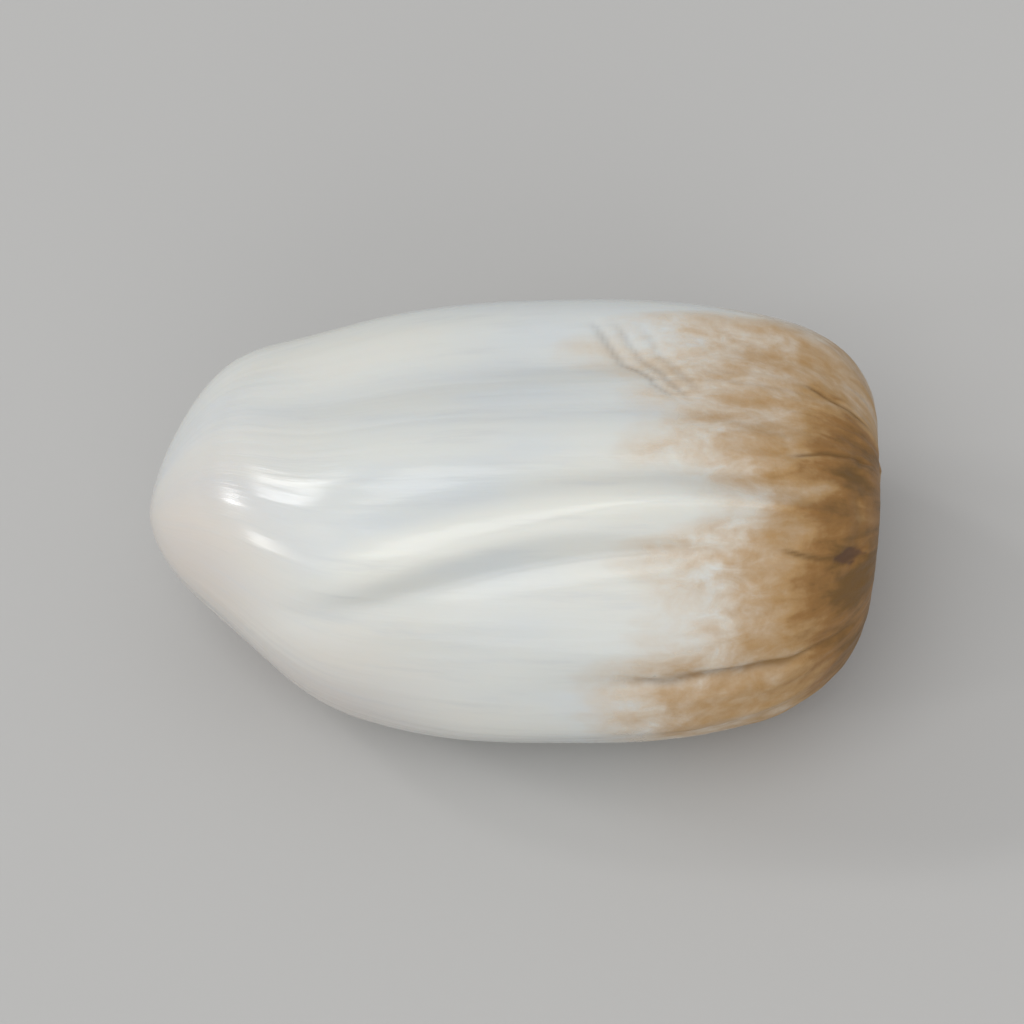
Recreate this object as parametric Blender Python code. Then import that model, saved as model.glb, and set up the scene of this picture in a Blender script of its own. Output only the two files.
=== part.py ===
"""Safflower seed: one dry, four-angled achene lying on its side on a small flat spot.

The seed grew as one piece, so it is one closed solid. Lengths are in metres and +Z is up. The long axis
runs along X, from the tapered attachment end at -X to the blunt crown at +X, and the origin is the middle
of the bottom of the seed's box.

Two coordinates place everything on the seed. The share along runs from 0 at the tapered tip to 1 at the
crown's rim. The girth angle, in degrees, is 0 straight up and grows towards the front (-Y), so 90 faces
the front, 180 the ground and -90 the back.
"""

from dataclasses import dataclass
from math import pi, radians

import bmesh
import bpy
import numpy as np
from mathutils import Matrix

MM = 0.001

# Driving dimensions
LENGTH = 7.5 * MM
WIDTH = 4.90 * MM
THICKNESS = 3.95 * MM
CORNER_HEIGHT = 0.13 * MM
CROWN_LIP = 0.02 * MM

# Girth angle that the broad way of the oval section points to, so that the seed lies on a broad side
BROAD_WAY = -92.0

# Flank outline: where the belly is, and how full and blunt each end is
BELLY_AT = 0.60
BASE_FULLNESS = 2.7
BASE_BLUNTNESS = 1.62
CROWN_FULLNESS = 2.7
CROWN_BLUNTNESS = 2.0
RIM_SHARE = 0.40

# The middle line bows this way near the tip, which leaves a slanted flank on the other side
BOW_WAY = -60.0
BOW_AT = 0.10
BOW_SPREAD = 0.10
BOW_HEIGHT = 0.29 * MM

# The crown face leans forward on the bow's side, and the seed lies with its tapered end a little lower
CROWN_LEAN = 4.0
LYING_PITCH = 1.2
FLAT_DEPTH = 0.12 * MM

# Crown face: shares inward from its rim, where the lip rises and the basin falls away behind it
LIP_AT = 0.10
LIP_SPREAD = 0.11
BASIN_FROM = 0.10
BASIN_TO = 0.42
BASIN_DEPTH = 0.10 * MM
RIM_BLEND = 0.05

# Ring scar in the crown's basin: a raised ring with a pit inside it and a moat round it
SCAR_CENTRE = (0.06 * MM, 0.10 * MM)
SCAR_RADIUS = 0.50 * MM
SCAR_BAND = 0.10 * MM
SCAR_HEIGHT = 0.055 * MM
MOAT_RADIUS = 0.68 * MM
MOAT_DEPTH = 0.05 * MM
PIT_RADIUS = 0.17 * MM
PIT_DEPTH = 0.11 * MM

# Attachment notch on the slanted flank beside the tip
NOTCH_AT = 0.135
NOTCH_GIRTH = 138.0
NOTCH_HALF_LENGTH = 0.66 * MM
NOTCH_HALF_WIDTH = 0.46 * MM
NOTCH_DEPTH = 0.24 * MM
NOTCH_FLOOR = 0.45
NOTCH_EDGE = 1.05
NOTCH_LIP = 0.03 * MM
NOTCH_LIP_AT = 1.2
NOTCH_LIP_SPREAD = 0.2

# Grid of the body
GIRTH_COLUMNS = 96
FLANK_ROWS = 40
CROWN_ROWS = 16

# Corners of the flat spot's outline are at least this far apart, so that the seed rests on a few firm ones
OUTLINE_STEP = 0.7 * MM

SNAP = 0.001 * MM


@dataclass(frozen=True)
class Corner:
    """One of the broad angles that make the section four-sided."""

    girth: float
    half_width: float
    bow: float


@dataclass(frozen=True)
class Ridge:
    """A rib, or with a negative height a groove, that runs along the flank."""

    girth: float
    height: float
    half_width: float
    start: float
    end: float
    bow: float = 0.0


# A ridge bows away from its girth on both sides of this share along, and broadens towards the tip
RIDGE_CREST_AT = 0.72
RIDGE_FADE = 0.16
RIDGE_SPREAD = 2.4
NARROWEST_SPREAD = 0.6
BROADEST_SPREAD = 2.0

# Corners stand out more as they reach the crown's rim
CORNER_GROWTH = 0.9
CORNER_GROWTH_FROM = 0.78

MAIN_GIRTH = 25.5
MAIN_BOW = 110.0

CORNERS = (
    Corner(MAIN_GIRTH, 21.0, 45.0),
    Corner(-52.0, 17.0, -20.0),
    Corner(-122.0, 16.0, 0.0),
    Corner(118.0, 18.0, 20.0),
)

RIDGES = (
    Ridge(MAIN_GIRTH, 0.13 * MM, 6.0, 0.18, 1.02, MAIN_BOW),
    Ridge(MAIN_GIRTH + 14.0, -0.07 * MM, 3.6, 0.14, 0.84, 94.0),
    Ridge(MAIN_GIRTH - 9.0, -0.05 * MM, 4.5, 0.22, 0.92, 77.0),
    Ridge(4.0, 0.05 * MM, 7.0, 0.18, 0.98, 20.0),
    Ridge(-27.0, -0.08 * MM, 8.0, 0.10, 0.80, 35.0),
    Ridge(-46.0, 0.05 * MM, 8.0, 0.10, 1.00),
    Ridge(77.0, -0.05 * MM, 4.0, 0.50, 1.02),
    Ridge(92.0, 0.06 * MM, 7.0, 0.30, 1.00, 20.0),
    Ridge(140.0, 0.05 * MM, 7.0, 0.34, 1.00),
    Ridge(-72.0, -0.07 * MM, 6.5, 0.14, 0.86, -12.0),
    Ridge(-90.0, 0.08 * MM, 6.0, 0.16, 1.00, -12.0),
    Ridge(-108.0, -0.06 * MM, 6.0, 0.20, 0.90, 12.0),
    Ridge(-128.0, 0.07 * MM, 5.0, 0.16, 1.02, 12.0),
    Ridge(-147.0, -0.05 * MM, 6.0, 0.24, 0.92),
)


@dataclass(frozen=True)
class Dent:
    """A shallow hollow in a flank panel."""

    along: float
    girth: float
    depth: float
    half_along: float
    half_girth: float


DENTS = (
    Dent(0.42, 72.0, 0.05 * MM, 0.13, 16.0),
    Dent(0.80, 50.0, 0.05 * MM, 0.07, 8.0),
    Dent(0.86, 2.0, 0.05 * MM, 0.06, 12.0),
    Dent(0.62, -84.0, 0.05 * MM, 0.12, 12.0),
    Dent(0.34, 150.0, 0.05 * MM, 0.10, 14.0),
    Dent(0.84, -112.0, 0.06 * MM, 0.07, 12.0),
)


def bell(distance):
    """Smooth hump that is 1 in the middle and about a third at a distance of 1."""
    return np.exp(-distance ** 2)


def ramp(value, low, high):
    """Smooth step from 0 at low to 1 at high."""
    share = np.clip((value - low) / (high - low), 0.0, 1.0)
    return share * share * (3.0 - 2.0 * share)


def girth_gap(girth, middle):
    """Degrees from a middle girth angle, between -180 and 180."""
    return (girth - middle + 180.0) % 360.0 - 180.0


def outward(girth):
    """Unit directions in the Y Z plane at girth angles in degrees."""
    angle = np.radians(girth)
    return np.stack([-np.sin(angle), np.cos(angle)], axis=-1)


def fullness(along):
    """Share of the belly's radius that the flank has at each share along."""
    below = np.clip(along / BELLY_AT, 0.0, 1.0)
    above = np.clip((1.0 - along) / (1.0 - BELLY_AT), 0.0, 1.0)
    base = (1.0 - (1.0 - below) ** BASE_FULLNESS) ** (1.0 / BASE_BLUNTNESS)
    rise = (1.0 - (1.0 - above) ** CROWN_FULLNESS) ** (1.0 / CROWN_BLUNTNESS)
    return np.where(along < BELLY_AT, base, RIM_SHARE + (1.0 - RIM_SHARE) * rise)


def oval(girth):
    """Radius of the plain oval section at the belly, inside the corners."""
    across = np.radians(girth - BROAD_WAY)
    broad = WIDTH / 2 - CORNER_HEIGHT
    narrow = THICKNESS / 2 - CORNER_HEIGHT
    return 1.0 / np.sqrt((np.cos(across) / broad) ** 2 + (np.sin(across) / narrow) ** 2)


def ridge_height(ridge, along, girth):
    """Height that one ridge adds at each point of the flank."""
    middle = ridge.girth + ridge.bow * (along - RIDGE_CREST_AT) ** 2
    broadening = 1.0 + RIDGE_SPREAD * (RIDGE_CREST_AT - along)
    spread = np.clip(broadening, NARROWEST_SPREAD, BROADEST_SPREAD)
    hump = bell(girth_gap(girth, middle) / (ridge.half_width * spread))
    opening = ramp(along, ridge.start, ridge.start + RIDGE_FADE)
    closing = 1.0 - ramp(along, ridge.end - RIDGE_FADE, ridge.end)
    return ridge.height * hump * opening * closing


def corner_height(corner, along, girth):
    """Height that one broad corner adds at each point of the flank."""
    middle = corner.girth + corner.bow * (along - RIDGE_CREST_AT) ** 2
    growth = 1.0 + CORNER_GROWTH * ramp(along, CORNER_GROWTH_FROM, 1.0)
    return CORNER_HEIGHT * growth * bell(girth_gap(girth, middle) / corner.half_width)


def dent_depth(dent, along, girth):
    """Depth that one dent takes away at each point of the flank."""
    lengthways = (along - dent.along) / dent.half_along
    sideways = girth_gap(girth, dent.girth) / dent.half_girth
    return dent.depth * bell(np.hypot(lengthways, sideways))


def notch_depth(along, girth, radius):
    """Depth of the attachment notch, with a low lip round its edge."""
    lengthways = (along - NOTCH_AT) * LENGTH / NOTCH_HALF_LENGTH
    sideways = np.radians(girth_gap(girth, NOTCH_GIRTH)) * radius / NOTCH_HALF_WIDTH
    reach = np.hypot(lengthways, sideways)
    lip = NOTCH_LIP * bell((reach - NOTCH_LIP_AT) / NOTCH_LIP_SPREAD)
    return NOTCH_DEPTH * (1.0 - ramp(reach, NOTCH_FLOOR, NOTCH_EDGE)) - lip


def flank(along, girth):
    """Points of the flank, from the tip to the crown's rim."""
    full = fullness(along)
    corners = sum(corner_height(corner, along, girth) for corner in CORNERS)
    relief = sum(ridge_height(ridge, along, girth) for ridge in RIDGES)
    dents = sum(dent_depth(dent, along, girth) for dent in DENTS)
    radius = full * (oval(girth) + corners + relief - dents)
    radius = radius - notch_depth(along, girth, radius)
    bow = BOW_HEIGHT * bell((along - BOW_AT) / BOW_SPREAD)
    across = radius[..., None] * outward(girth) + bow[..., None] * outward(BOW_WAY)
    lean = np.tan(radians(CROWN_LEAN)) * (across @ outward(BOW_WAY))
    lengthways = along * (LENGTH - CROWN_LIP) + lean * ramp(along, BELLY_AT, 1.0)
    return np.concatenate([lengthways[..., None], across], axis=-1)


def crown(inward, girth):
    """Points of the crown face, from its rim to the middle of the ring scar."""
    rim = flank(np.ones_like(girth), girth)
    middle = rim.mean(axis=0)
    middle[1:] = middle[1:] + SCAR_CENTRE
    face = rim + (middle - rim) * inward[..., None]
    from_scar = np.linalg.norm(face[..., 1:] - middle[1:], axis=-1)
    lip = CROWN_LIP * bell((inward - LIP_AT) / LIP_SPREAD)
    basin = BASIN_DEPTH * ramp(inward, BASIN_FROM, BASIN_TO)
    ring = SCAR_HEIGHT * bell((from_scar - SCAR_RADIUS) / SCAR_BAND)
    moat = MOAT_DEPTH * bell((from_scar - MOAT_RADIUS) / SCAR_BAND)
    pit = PIT_DEPTH * bell(from_scar / PIT_RADIUS)
    face[..., 0] = face[..., 0] + (lip - basin + ring - moat - pit) * ramp(inward, 0.0, RIM_BLEND)
    return face


def shape_body(mesh):
    """Move a sphere's grid onto the seed: its lower pole becomes the tip and its upper pole the scar."""
    grid = np.array([vertex.co for vertex in mesh.verts])
    row = (1.0 - np.arccos(np.clip(grid[:, 2], -1.0, 1.0)) / pi) * (FLANK_ROWS + CROWN_ROWS)
    girth = np.degrees(np.arctan2(grid[:, 1], grid[:, 0]))
    on_flank = row < FLANK_ROWS + 0.5
    along = (1.0 - np.cos(pi * np.clip(row / FLANK_ROWS, 0.0, 1.0))) / 2
    inward = np.clip((row - FLANK_ROWS) / CROWN_ROWS, 0.0, 1.0)
    places = np.where(on_flank[:, None], flank(along, girth), crown(inward, girth))
    for vertex, place in zip(mesh.verts, places):
        vertex.co = place


def cut_flat_spot(mesh):
    """Plane the underside off at the depth of the flat spot and close the cut with one face."""
    lowest = min(vertex.co.z for vertex in mesh.verts)
    everything = [*mesh.verts, *mesh.edges, *mesh.faces]
    cut = bmesh.ops.bisect_plane(
        mesh, geom=everything, dist=SNAP, plane_co=(0, 0, lowest + FLAT_DEPTH), plane_no=(0, 0, 1),
        clear_inner=True, use_snap_center=True,
    )
    outline = [item for item in cut["geom_cut"] if isinstance(item, bmesh.types.BMVert)]
    bmesh.ops.remove_doubles(mesh, verts=outline, dist=OUTLINE_STEP)
    edges = [edge for edge in mesh.edges if edge.is_boundary]
    bmesh.ops.contextual_create(mesh, geom=edges)


def stand_on_origin(mesh):
    """Move the seed so that the middle of the bottom of its box is the origin."""
    places = np.array([vertex.co for vertex in mesh.verts])
    low = places.min(axis=0)
    high = places.max(axis=0)
    middle = (low + high) / 2
    bmesh.ops.translate(mesh, verts=mesh.verts, vec=(-middle[0], -middle[1], -low[2]))


def seed_coat():
    """Satin ivory seed coat."""
    material = bpy.data.materials.new("seed_coat")
    material.use_nodes = True
    shader = material.node_tree.nodes["Principled BSDF"]
    shader.inputs["Base Color"].default_value = (0.78, 0.76, 0.70, 1.0)
    shader.inputs["Roughness"].default_value = 0.35
    shader.inputs["Metallic"].default_value = 0.0
    return material


def build_seed():
    """Make the seed from a sphere's grid, lay it down and plane its flat spot."""
    mesh = bmesh.new()
    bmesh.ops.create_uvsphere(
        mesh, u_segments=GIRTH_COLUMNS, v_segments=FLANK_ROWS + CROWN_ROWS, radius=1.0
    )
    shape_body(mesh)
    bmesh.ops.rotate(mesh, verts=mesh.verts, matrix=Matrix.Rotation(radians(-LYING_PITCH), 3, "Y"))
    cut_flat_spot(mesh)
    stand_on_origin(mesh)
    bmesh.ops.recalc_face_normals(mesh, faces=mesh.faces)
    data = bpy.data.meshes.new("safflower_seed")
    mesh.to_mesh(data)
    mesh.free()
    data.shade_smooth()
    data.materials.append(seed_coat())
    seed = bpy.data.objects.new("safflower_seed", data)
    bpy.context.scene.collection.objects.link(seed)


for leftover in list(bpy.data.objects):
    bpy.data.objects.remove(leftover)
build_seed()
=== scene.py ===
"""Safflower seed: the finished surface of one dry, four-angled achene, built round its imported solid.

The seed lies on its side. Its long axis runs along X, from the tapered attachment end at -X to the blunt
crown at +X, and +Z is up. Two coordinates place everything on it: the share along runs from 0 at the tapered
tip to 1 at the crown's rim, and the girth angle, in degrees, is 0 straight up and grows towards the front
(-Y), so 90 faces the front, 180 the ground and -90 the back. Lengths are in metres.
"""

import logging
from dataclasses import dataclass, field
from enum import Enum
from math import cos, radians, sin, tan

import bpy
import numpy as np
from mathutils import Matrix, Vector, noise

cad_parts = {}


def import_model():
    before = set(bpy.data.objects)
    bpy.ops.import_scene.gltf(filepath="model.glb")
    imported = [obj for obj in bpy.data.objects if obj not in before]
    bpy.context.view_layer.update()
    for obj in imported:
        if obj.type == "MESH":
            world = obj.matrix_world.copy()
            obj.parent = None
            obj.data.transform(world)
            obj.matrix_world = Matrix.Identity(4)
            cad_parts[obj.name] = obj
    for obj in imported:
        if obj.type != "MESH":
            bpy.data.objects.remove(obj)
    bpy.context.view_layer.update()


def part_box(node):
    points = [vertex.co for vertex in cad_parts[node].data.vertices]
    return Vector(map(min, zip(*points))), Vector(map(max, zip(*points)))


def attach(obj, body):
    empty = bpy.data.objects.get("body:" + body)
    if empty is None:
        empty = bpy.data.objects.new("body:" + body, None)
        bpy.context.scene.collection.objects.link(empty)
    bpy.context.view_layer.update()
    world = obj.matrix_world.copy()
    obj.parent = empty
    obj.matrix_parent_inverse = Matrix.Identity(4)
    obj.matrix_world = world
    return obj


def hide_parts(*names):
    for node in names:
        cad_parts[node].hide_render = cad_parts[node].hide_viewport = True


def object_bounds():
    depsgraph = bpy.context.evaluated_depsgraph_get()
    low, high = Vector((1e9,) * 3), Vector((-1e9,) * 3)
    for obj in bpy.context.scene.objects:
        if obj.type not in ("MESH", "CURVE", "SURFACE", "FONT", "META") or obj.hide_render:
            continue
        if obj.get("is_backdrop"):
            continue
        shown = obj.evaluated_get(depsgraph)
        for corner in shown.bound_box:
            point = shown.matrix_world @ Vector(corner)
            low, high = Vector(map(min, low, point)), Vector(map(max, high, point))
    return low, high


MM = 0.001
LOG = logging.getLogger("safflower_seed")

Shade = tuple[float, float, float, float]
Pairs = tuple[tuple[float, float], ...]


class Mask(Enum):
    """Point attributes that the seed coat's finish reads, each 0 to 1."""

    STAIN = "stain"
    DEEP = "deep_stain"
    CREST_HIGHLIGHT = "crest"
    FLUTE_SHADE = "flute_shade"
    CREASE = "crease"
    SPECK = "speck"
    NOTCH = "notch"
    DISC = "scar_disc"
    RING = "scar_ring"
    FLUSH_AND_TIP_SHADE = "flush_and_tip_shade"


class Grain(Enum):
    """Vector attribute that follows the hull's fibres from the tip to the crown."""

    FIBRE = "fibre"


def bell(distance: np.ndarray) -> np.ndarray:
    """Return a smooth hump that is 1 in the middle and about a third at a distance of 1."""
    return np.exp(-(distance ** 2))


def ramp(value: np.ndarray, low: float, high: float) -> np.ndarray:
    """Return a smooth step from 0 at low to 1 at high."""
    share = np.clip((value - low) / (high - low), 0.0, 1.0)
    return share * share * (3.0 - 2.0 * share)


def girth_gap(girth: np.ndarray, middle: np.ndarray | float) -> np.ndarray:
    """Return the degrees from a middle girth angle, between -180 and 180."""
    return (girth - middle + 180.0) % 360.0 - 180.0


def outward(girth: np.ndarray | float) -> np.ndarray:
    """Return unit directions in the Y Z plane at girth angles in degrees."""
    angle = np.radians(girth)
    return np.stack([-np.sin(angle), np.cos(angle)], axis=-1)


def tone(red: int, green: int, blue: int) -> Shade:
    """Turn a display colour into the linear colour that a shader socket takes.

    Args:
        red: Red from 0 to 255.
        green: Green from 0 to 255.
        blue: Blue from 0 to 255.

    Returns:
        Linear red, green, blue and an alpha of 1.
    """
    linear = [((part / 255.0 + 0.055) / 1.055) ** 2.4 for part in (red, green, blue)]
    return (linear[0], linear[1], linear[2], 1.0)


@dataclass(frozen=True)
class Unevenness:
    """Smooth noise that shapes the surface.

    Its lumps have a length along the fibres and a breadth across them, and the shift moves the pattern, so
    that two of them differ.
    """

    length: float
    breadth: float
    octaves: int
    shift: float
    fineness: float = 0.8
    finer_by: float = 2.0

    def at(self, places: np.ndarray) -> np.ndarray:
        """Sample the noise at many points.

        Args:
            places: Points in metres, one per row.

        Returns:
            One value per point, mostly between -1 and 1.
        """
        scaled = places / np.array((self.length, self.breadth, self.breadth)) + self.shift
        layers = (self.fineness, self.finer_by, self.octaves)
        return np.array([noise.fractal(Vector(place), *layers) for place in scaled])


@dataclass(frozen=True)
class Skin:
    """Where each point of the surface lies, in the seed's own coordinates."""

    along: np.ndarray
    girth: np.ndarray
    inward: np.ndarray
    on_crown: np.ndarray

    def fibres(self, form: "SeedForm") -> np.ndarray:
        """Return points of a straight, lidded tube whose length follows the hull's fibres, in metres."""
        around = outward(self.girth) * (form.width / 2 * (1.0 - self.inward))[:, None]
        return np.concatenate([(self.along * form.length)[:, None], around], axis=-1)


@dataclass(frozen=True)
class Corner:
    """One of the broad angles that make the section four-sided."""

    girth: float
    half_width: float
    bow: float

    def height(self, form: "SeedForm", along: np.ndarray, girth: np.ndarray) -> np.ndarray:
        """Give the height that this corner adds.

        Args:
            form: The seed's main form.
            along: Shares along the seed.
            girth: Girth angles in degrees.

        Returns:
            Heights in metres.
        """
        middle = self.girth + self.bow * (along - form.crest_at) ** 2
        growth = 1.0 + form.corner_growth * ramp(along, form.corner_growth_from, 1.0)
        return form.corner_height * growth * bell(girth_gap(girth, middle) / self.half_width)


@dataclass(frozen=True)
class Ridge:
    """A rib, or with a negative height a groove, that runs along the flank."""

    girth: float
    rise: float
    half_width: float
    start: float
    end: float
    bow: float = 0.0

    def height(self, form: "SeedForm", along: np.ndarray, girth: np.ndarray) -> np.ndarray:
        """Give the height that this ridge adds.

        Args:
            form: The seed's main form.
            along: Shares along the seed.
            girth: Girth angles in degrees.

        Returns:
            Heights in metres.
        """
        middle = self.girth + self.bow * (along - form.crest_at) ** 2
        spread = np.clip(1.0 + form.ridge_spread * (form.crest_at - along), *form.spread_limits)
        hump = bell(girth_gap(girth, middle) / (self.half_width * spread))
        opening = ramp(along, self.start, self.start + form.ridge_fade)
        closing = 1.0 - ramp(along, self.end - form.ridge_fade, self.end)
        return self.rise * hump * opening * closing


@dataclass(frozen=True)
class Patch:
    """A patch of the flank that fades out all round: a shallow hollow, or a faint flush that also paints
    shade at the tip.
    """

    along: float
    girth: float
    strength: float
    half_along: float
    half_girth: float

    def amount(self, along: np.ndarray, girth: np.ndarray) -> np.ndarray:
        """Return what the patch gives each point: its strength in the middle and 0 away from it."""
        sideways = girth_gap(girth, self.girth) / self.half_girth
        return self.strength * bell(np.hypot((along - self.along) / self.half_along, sideways))


@dataclass(frozen=True)
class Crease:
    """A fine groove between two places on the flank, each a share along and a girth angle, with painted
    shade laid in it.
    """

    start: tuple[float, float]
    end: tuple[float, float]
    depth: float
    half_width: float = 0.035 * MM
    wander: float = 0.03 * MM
    shade_strength: float = 1.3
    fade: float = 0.2

    def shade(self) -> float:
        """Return how dark the crease's painted shade is, 0 to 1: a steep one is painted darker than a
        shallow one.
        """
        return min(1.0, self.shade_strength * self.depth / self.half_width)

    def line(self, form: "SeedForm", skin: Skin, sway: np.ndarray) -> np.ndarray:
        """Say how much of the crease each point feels.

        Args:
            form: The seed's main form.
            skin: The points.
            sway: Noise that makes the line wander.

        Returns:
            1 on the line and 0 away from it.
        """
        breadth = radians(1.0) * form.width / 2
        run = (self.end[0] - self.start[0]) * form.length
        climb = (self.end[1] - self.start[1]) * breadth
        reach = np.hypot(run, climb)
        lengthways = (skin.along - self.start[0]) * form.length
        sideways = girth_gap(skin.girth, self.start[1]) * breadth
        share = (lengthways * run + sideways * climb) / reach ** 2
        aside = (sideways * run - lengthways * climb) / reach + sway * self.wander
        ends = ramp(share, 0.0, self.fade) * (1.0 - ramp(share, 1.0 - self.fade, 1.0))
        return bell(aside / self.half_width) * ends


@dataclass(frozen=True)
class Speck:
    """A dark pit in the hull, drawn out along the fibres."""

    along: float
    girth: float
    half_length: float
    half_width: float
    depth: float

    def spot(self, form: "SeedForm", skin: Skin, ragged: np.ndarray) -> np.ndarray:
        """Say how much of the speck each point feels.

        Args:
            form: The seed's main form.
            skin: The points.
            ragged: Noise that frays its outline.

        Returns:
            1 in the middle of the speck and 0 away from it.
        """
        lengthways = (skin.along - self.along) * form.length / self.half_length
        sideways = np.radians(girth_gap(skin.girth, self.girth)) * form.width / 2 / self.half_width
        reach = np.maximum(np.hypot(lengthways, sideways) + ragged, 0.0)
        return bell(reach ** 2) * ~skin.on_crown


MAIN_GIRTH = 25.5
MAIN_BOW = 110.0

CORNERS = (
    Corner(MAIN_GIRTH, 21.0, 45.0),
    Corner(-52.0, 17.0, -20.0),
    Corner(-122.0, 16.0, 0.0),
    Corner(118.0, 18.0, 20.0),
)

RIDGES = (
    Ridge(MAIN_GIRTH, 0.13 * MM, 6.0, 0.18, 1.02, MAIN_BOW),
    Ridge(MAIN_GIRTH + 14.0, -0.07 * MM, 3.6, 0.14, 0.84, 94.0),
    Ridge(MAIN_GIRTH - 9.0, -0.05 * MM, 4.5, 0.22, 0.92, 77.0),
    Ridge(4.0, 0.05 * MM, 7.0, 0.18, 0.98, 20.0),
    Ridge(-27.0, -0.08 * MM, 8.0, 0.10, 0.80, 35.0),
    Ridge(-46.0, 0.05 * MM, 8.0, 0.10, 1.00),
    Ridge(77.0, -0.05 * MM, 4.0, 0.50, 1.02),
    Ridge(92.0, 0.06 * MM, 7.0, 0.30, 1.00, 20.0),
    Ridge(140.0, 0.05 * MM, 7.0, 0.34, 1.00),
    Ridge(-72.0, -0.07 * MM, 6.5, 0.14, 0.86, -12.0),
    Ridge(-90.0, 0.08 * MM, 6.0, 0.16, 1.00, -12.0),
    Ridge(-108.0, -0.06 * MM, 6.0, 0.20, 0.90, 12.0),
    Ridge(-128.0, 0.07 * MM, 5.0, 0.16, 1.02, 12.0),
    Ridge(-147.0, -0.05 * MM, 6.0, 0.24, 0.92),
)

DENTS = (
    Patch(0.42, 72.0, 0.05 * MM, 0.13, 16.0),
    Patch(0.80, 50.0, 0.05 * MM, 0.07, 8.0),
    Patch(0.86, 2.0, 0.05 * MM, 0.06, 12.0),
    Patch(0.62, -84.0, 0.05 * MM, 0.12, 12.0),
    Patch(0.34, 150.0, 0.05 * MM, 0.10, 14.0),
    Patch(0.84, -112.0, 0.06 * MM, 0.07, 12.0),
)

# A darker, warmer flush at the tip end and the low front flank; at the tip this darkening is painted shade.
FLUSH_AND_TIP_SHADE_PATCHES = (
    Patch(0.24, 104.0, 0.75, 0.17, 34.0),
    Patch(0.06, 70.0, 0.80, 0.14, 70.0),
)


@dataclass(frozen=True)
class SeedForm:
    """The seed's main form, with the same named values as its solid."""

    length: float = 7.5 * MM
    width: float = 4.90 * MM
    thickness: float = 3.95 * MM
    corner_height: float = 0.13 * MM
    corner_growth: float = 0.9
    corner_growth_from: float = 0.78
    crown_lip: float = 0.02 * MM
    broad_way: float = -92.0
    belly_at: float = 0.60
    base_fullness: float = 2.7
    base_bluntness: float = 1.62
    crown_fullness: float = 2.7
    crown_bluntness: float = 2.0
    rim_share: float = 0.40
    bow_way: float = -60.0
    bow_at: float = 0.10
    bow_spread: float = 0.10
    bow_height: float = 0.29 * MM
    crown_lean: float = 4.0
    lying_pitch: float = 1.2
    flat_depth: float = 0.12 * MM
    crest_at: float = 0.72
    ridge_fade: float = 0.16
    ridge_spread: float = 2.4
    spread_limits: tuple[float, float] = (0.6, 2.0)

    def fullness(self, along: np.ndarray) -> np.ndarray:
        """Give the share of the belly's radius that the flank has.

        Args:
            along: Shares along the seed.

        Returns:
            Shares of the belly's radius.
        """
        below = np.clip(along / self.belly_at, 0.0, 1.0)
        above = np.clip((1.0 - along) / (1.0 - self.belly_at), 0.0, 1.0)
        base = (1.0 - (1.0 - below) ** self.base_fullness) ** (1.0 / self.base_bluntness)
        rise = (1.0 - (1.0 - above) ** self.crown_fullness) ** (1.0 / self.crown_bluntness)
        return np.where(along < self.belly_at, base, self.rim_share + (1.0 - self.rim_share) * rise)

    def oval(self, girth: np.ndarray) -> np.ndarray:
        """Give the radius of the plain oval section at the belly, inside the corners.

        Args:
            girth: Girth angles in degrees.

        Returns:
            Radii in metres.
        """
        across = np.radians(girth - self.broad_way)
        broad = self.width / 2 - self.corner_height
        narrow = self.thickness / 2 - self.corner_height
        return 1.0 / np.sqrt((np.cos(across) / broad) ** 2 + (np.sin(across) / narrow) ** 2)

    def radius(self, along: np.ndarray, girth: np.ndarray) -> np.ndarray:
        """Give the flank's radius before the notch is cut.

        Args:
            along: Shares along the seed.
            girth: Girth angles in degrees.

        Returns:
            Radii in metres.
        """
        corners = sum(corner.height(self, along, girth) for corner in CORNERS)
        relief = sum(ridge.height(self, along, girth) for ridge in RIDGES)
        dents = sum(dent.amount(along, girth) for dent in DENTS)
        return self.fullness(along) * (self.oval(girth) + corners + relief - dents)

    def place(self, along: np.ndarray, girth: np.ndarray, radius: np.ndarray) -> np.ndarray:
        """Turn radii into points, with the bow at the tip and the lean at the crown.

        Args:
            along: Shares along the seed.
            girth: Girth angles in degrees.
            radius: Radii in metres.

        Returns:
            Points in metres, with the tip near the origin.
        """
        bow = self.bow_height * bell((along - self.bow_at) / self.bow_spread)
        across = radius[..., None] * outward(girth) + bow[..., None] * outward(self.bow_way)
        lean = tan(radians(self.crown_lean)) * (across @ outward(self.bow_way))
        lengthways = along * (self.length - self.crown_lip) + lean * ramp(along, self.belly_at, 1.0)
        return np.concatenate([lengthways[..., None], across], axis=-1)


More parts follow.
